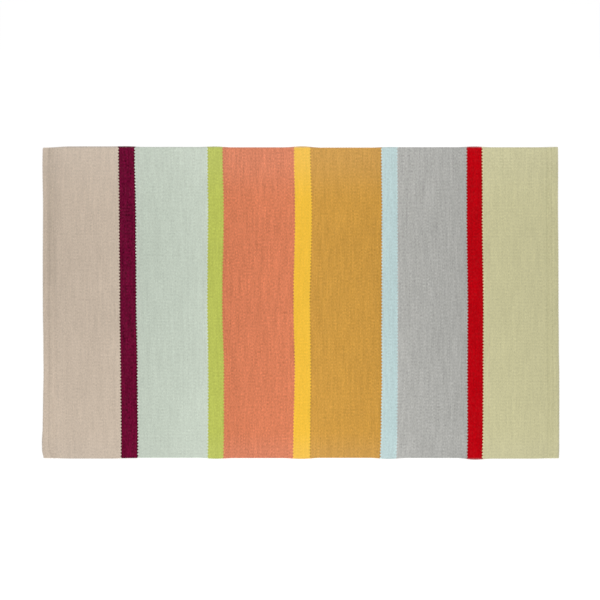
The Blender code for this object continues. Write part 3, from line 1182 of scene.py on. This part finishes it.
def under_patch(grid, left):
    """The inner side, and the faces that join it to the selvedges."""
    places = grid.places()
    box = Box(left, UNDER_SHARE)
    tall = np.linspace(0, 1, grid.inner.shape[1] + 2)
    spread_on(places, grid.inner, box, grid.across[grid.kept], tall[1:-1])
    spread_on(places, grid.outer[:, [0, -1]], box, grid.across, tall[[0, -1]])
    faces = grid_faces(grid.inner)[:, ::-1].tolist()
    for side, flipped in ((0, False), (-1, True)):
        faces += fan_faces(grid.outer[:, side].tolist(), grid.inner[:, side].tolist(), grid.kept, flipped)
    return Patch(faces, places)


def end_patches(grid, left):
    """The two cut ends of the band."""
    patches = []
    rim = 2 * len(SELVEDGE) + 1
    for column, flipped in ((0, False), (-1, True)):
        outer, inner = grid.outer[column], grid.inner[column]
        places = grid.places()
        places[outer, 0] = left + WALL_SHARE
        places[outer, 1] = np.linspace(*OUTER_RIM_TALL, len(outer))
        places[inner, 0] = left
        places[inner, 1] = np.linspace(*INNER_RIM_TALL, len(inner))
        patches.append(Patch(wall_faces((outer.tolist(), inner.tolist(), rim), flipped), places))
        left += WALL_SHARE + MAP_GAP
    return patches


def band_patches(first, last, girth, weft, narrow):
    """The patches of one band between two columns, and the columns that its underside keeps."""
    fine = last - first + 1
    outer = np.arange(fine * girth.outer).reshape(fine, girth.outer)
    kept = kept_columns(first, last, len(weft) - 1)
    around = len(girth.row) - girth.outer
    inner = outer.size + np.arange(len(kept) * around).reshape(len(kept), around)
    picks = weft[first : last + 1] - weft[first]
    grid = BandGrid(outer, inner, [column - first for column in kept], picks / picks[-1])
    left_of_under = MAP_GAP + TOP_SHARE
    left_of_ends = left_of_under + UNDER_SHARE + MAP_GAP
    patches = top_patches(grid, NARROW_STRIPS if narrow else WIDE_STRIPS)
    patches.append(under_patch(grid, left_of_under))
    patches += end_patches(grid, left_of_ends)
    return patches, kept


def woven_piece(name, woven, first, last, narrow):
    """One colour band cut out of the woven cloth, closed all round."""
    cloth, girth, points, normals = woven
    patches, kept = band_patches(first, last, girth, cloth.weft, narrow)
    around = len(girth.row)
    outer = np.arange(girth.outer)
    inner = np.arange(around - 1, girth.outer - 1, -1)
    fine = np.arange(first, last + 1)

    def both(values):
        sides = (values[fine][:, outer], values[kept][:, inner])
        return np.concatenate([side.reshape(-1, *values.shape[2:]) for side in sides])

    faces = [face for patch in patches for face in patch.faces]
    mesh = bpy.data.meshes.new(name)
    mesh.from_pydata(both(points).tolist(), [], faces)
    mesh.shade_smooth()

    weft = np.broadcast_to(cloth.weft[:, None], (len(cloth.weft), around))
    rib = np.broadcast_to(cloth.rib[girth.row][None, :], (len(cloth.weft), around))
    in_weave = np.stack([both(weft), both(rib)], axis=-1)
    corner_ids = [np.concatenate([np.array(face) for face in patch.faces]) for patch in patches]
    weave_map = mesh.uv_layers.new(name=WEAVE_PLACE)
    weave_map.uv.foreach_set("vector", in_weave[np.concatenate(corner_ids)].astype(np.float32).ravel())
    bake = np.concatenate([patch.places[ids] for patch, ids in zip(patches, corner_ids)])
    bake_map = mesh.uv_layers.new(name=BAKE_MAP)
    bake_map.uv.foreach_set("vector", bake.astype(np.float32).ravel())
    weave_map.active = True
    weave_map.active_render = True
    mesh.normals_split_custom_set_from_vertices(both(normals).tolist())
    # The painted shade round the seams, on the outer side only
    crease = np.where(np.arange(around) < girth.outer, cloth.crease[:, girth.row], 0.0)
    add_values(mesh, SEAM_SHADE_LAYER, both(crease))
    return in_scene(name, mesh)


def weave_whole(weave, stitch_pitch):
    """The whole cloth with its relief: the plain cloth, the way round it, its points and normals."""
    cloth = lay_cloth(weave)
    girth = girth_of(cloth)
    grown = grown_mesh("woven_cloth", plain_mesh(cloth, girth), weave_tree(), {
        "Rib Height": weave.rib_height, "Bump Height": weave.bump_height,
        "Alternate Rise": weave.alternate_rise, "Unevenness": weave.unevenness,
        "Selvedge Loop": weave.selvedge_loop, "Groove Depth": weave.groove_depth,
        "Stitch Pitch": stitch_pitch, "Seed": float(weave.seed),
    })
    shape = (len(cloth.weft), len(girth.row), 3)
    points = np.empty(len(grown.vertices) * 3, dtype=np.float32)
    grown.vertices.foreach_get("co", points)
    normals = np.empty_like(points)
    grown.vertex_normals.foreach_get("vector", normals)
    bpy.data.meshes.remove(grown)
    points = points.reshape(shape).astype(float)
    points[..., 2] = np.maximum(points[..., 2], 0.0)
    return cloth, girth, points, normals.reshape(shape)


def cut_columns(cloth):
    """The column that each band starts on, and the last one of all."""
    first_top = FLAP_PICKS + TURN_STEPS
    return [0, *(first_top + start for start in picks_laid()[0]), len(cloth.weft) - 1]


class RUG_OT_woven_bands(Operator):
    """Weaves the rug's colour bands in place of its plain cloth"""

    bl_idname = "rug.woven_bands"
    bl_label = "Weave Bands"

    def execute(self, context):
        scene = context.scene
        colours, finish = scene.rug_colours, scene.rug_finish
        woven = weave_whole(scene.rug_weave, scene.rug_stitches.pitch)
        cloth = woven[0]
        cuts = cut_columns(cloth)
        groups = (woven_yarn_group(), tone_wear_and_painted_light_group())
        for index, band in enumerate(BANDS):
            follower = BANDS[min(index + 1, len(BANDS) - 1)]
            first, last = cuts[index], cuts[index + 1]
            piece = woven_piece(f"{band.name}_band", woven, first, last, band.width < NARROW_BAND)
            picks = (float(cloth.weft[first]), float(cloth.weft[last]))
            piece.data.materials.append(yarn_material(band, follower, picks, colours, groups, finish))
            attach(piece, "root")
            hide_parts("rug")
        return {"FINISHED"}


def stitch_line(end, outer, shift, weave, stitches):
    """The line that one row of stitches follows, as a mesh of edges from one selvedge to the other."""
    rib = np.arange(1.0, RIBS)
    across = (rib / RIBS - 0.5) * RUG_WIDTH
    inset = end_value(f"{end}_hem", across) - weave.stitch_back
    along = inset - RUG_LENGTH / 2 if end == "sand" else RUG_LENGTH / 2 - inset
    x, y = laid_out(along[None, :], across)
    sunk = weave.groove_depth * STITCH_SUNK
    height = HIGH + LOW - sunk if outer else stitches.thread / 2
    points = np.stack([x[0], y[0], np.full_like(rib, height)], axis=-1) + shift
    mesh = bpy.data.meshes.new("stitch_line")
    mesh.from_pydata(points.tolist(), [(row, row + 1) for row in range(len(rib) - 1)], [])
    return mesh


def joined(name, meshes):
    """One object of several meshes, which share their material."""
    pieces = [in_scene(name, mesh) for mesh in meshes]
    with bpy.context.temp_override(
        active_object=pieces[0], object=pieces[0], selected_objects=pieces,
        selected_editable_objects=pieces,
    ):
        bpy.ops.object.join()
    return pieces[0]


class RUG_OT_hem_stitching(Operator):
    """Sews a row of stitches along the hem at each short end"""

    bl_idname = "rug.hem_stitching"
    bl_label = "Stitch Hems"

    def execute(self, context):
        weave, stitches = context.scene.rug_weave, context.scene.rug_stitches
        tree = stitch_tree()
        shift = lay_cloth(weave).shift
        radius = stitches.thread / 2
        for end in ("sand", "sage"):
            thread = thread_material(f"{end}_thread", getattr(stitches, f"{end}_thread"))
            rows = []
            for outer in (True, False):
                way = 1.0 if outer else -1.0
                line = stitch_line(end, outer, shift, weave, stitches)
                rows.append(grown_mesh(f"{end}_stitches", line, tree, {
                    "Pitch": stitches.pitch, "Reach": stitches.reach, "Thread Radius": radius,
                    "Rise": STITCH_RISE * radius if outer else 0.0, "Dip": -way * STITCH_DIP * radius,
                    "Slant": STITCH_SLANT, "Seed": weave.seed, "Thread": thread,
                }))
            piece = joined(f"{end}_hem_stitches", rows)
            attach(piece, "root")
        return {"FINISHED"}


class Lamp(NamedTuple):
    """A rectangular lamp. power is the name of its setting."""

    name: str
    power: str
    place: tuple
    target: tuple
    size_x: float
    size_y: float


LAMPS = (
    Lamp("strip_lamp", "strip_power", (0.0, 0.0, 0.5), (0.0, 0.0, 0.0), 0.12, 2.6),
    Lamp("key_lamp", "key_power", (0.0, -2.0, 1.8), (0.0, 0.0, 0.0), 2.0, 1.2),
    Lamp("far_lamp", "far_power", (0.0, 0.62, 0.2), (0.0, 0.22, 0.0), 2.6, 0.1),
)


def hang_lamp(row, watts):
    """Hangs one lamp of the table."""
    lamp = bpy.data.lights.new(row.name, "AREA")
    lamp.shape = "RECTANGLE"
    lamp.size = row.size_x
    lamp.size_y = row.size_y
    lamp.energy = watts
    holder = in_scene(row.name, lamp)
    holder.location = row.place
    aim = Vector(row.target) - Vector(row.place)
    holder.rotation_euler = aim.to_track_quat("-Z", "Y").to_euler()
    holder.visible_camera = False


def lay_floor(stage):
    """Lays the pale floor that the rug lies on."""
    half = stage.floor_size / 2
    mesh = bpy.data.meshes.new("floor")
    corners = [(-half, -half), (half, -half), (half, half), (-half, half)]
    mesh.from_pydata([(x, y, -FLOOR_GAP) for x, y in corners], [], [(0, 1, 2, 3)])
    mesh.materials.append(floor_material(stage.floor_glow))
    in_scene("floor", mesh)


def soft_dome(strength):
    """White light from all round."""
    world = bpy.data.worlds.new("soft_dome")
    world.use_nodes = True
    dome = world.node_tree.nodes["Background"]
    dome.inputs["Color"].default_value = (1.0, 1.0, 1.0, 1.0)
    dome.inputs["Strength"].default_value = strength
    return world


def overhead_camera(lens):
    """A camera that looks straight down, with the rug where the photograph has it."""
    camera = bpy.data.cameras.new("camera")
    camera.lens = lens
    view = in_scene("camera", camera)
    off_centre = [(PHOTO_WIDTH / 2 - place) * METRES_PER_PX for place in RUG_CENTRE_PX]
    distance = PHOTO_WIDTH * METRES_PER_PX * camera.lens / camera.sensor_width
    centre = [(low + high) / 2 for low, high in zip(*CAD_BOX)]
    view.location = (centre[0] + off_centre[0], centre[1] - off_centre[1], CLOTH_THICK + distance)
    return view


class RUG_OT_stage(Operator):
    """Sets a pale floor, soft lamps and a camera that looks straight down"""

    bl_idname = "rug.stage"
    bl_label = "Set Stage"

    def execute(self, context):
        scene = context.scene
        stage = scene.rug_stage
        scene.view_settings.view_transform = "Standard"
        scene.cycles.filter_width = FILTER_WIDTH
        scene.cycles.denoising_prefilter = "NONE"  # the default smooths away the teeth between bands
        lay_floor(stage)
        scene.world = soft_dome(stage.dome)
        for row in LAMPS:
            hang_lamp(row, getattr(stage, row.power))
        scene.camera = overhead_camera(stage.lens)
        return {"FINISHED"}


class RUG_PT_panel(Panel):
    """Sizes, colours and steps of the rug"""

    bl_idname = "RUG_PT_panel"
    bl_label = "Outdoor Rug"
    bl_space_type = "VIEW_3D"
    bl_region_type = "UI"
    bl_category = "Rug"

    def draw(self, context):
        for operator in OPERATORS:
            self.layout.operator(operator.bl_idname)
        for name, group in SETTINGS.items():
            box = self.layout.box()
            for setting in group.__annotations__:
                box.prop(getattr(context.scene, name), setting)


SETTINGS = {
    "rug_weave": RugWeaveSizes,
    "rug_colours": RugYarnColours,
    "rug_finish": RugYarnFinish,
    "rug_stitches": RugStitchSizes,
    "rug_stage": RugStage,
}
OPERATORS = (RUG_OT_stage, RUG_OT_woven_bands, RUG_OT_hem_stitching)
CLASSES = (*SETTINGS.values(), *OPERATORS, RUG_PT_panel)


def register():
    for cls in CLASSES:
        bpy.utils.register_class(cls)
    for name, group in SETTINGS.items():
        setattr(bpy.types.Scene, name, PointerProperty(type=group))


def unregister():
    for name in SETTINGS:
        delattr(bpy.types.Scene, name)
    for cls in reversed(CLASSES):
        bpy.utils.unregister_class(cls)


def main():
    register()
    bpy.ops.rug.stage()
    bpy.ops.rug.woven_bands()
    bpy.ops.rug.hem_stitching()


if __name__ == "__main__":
    main()
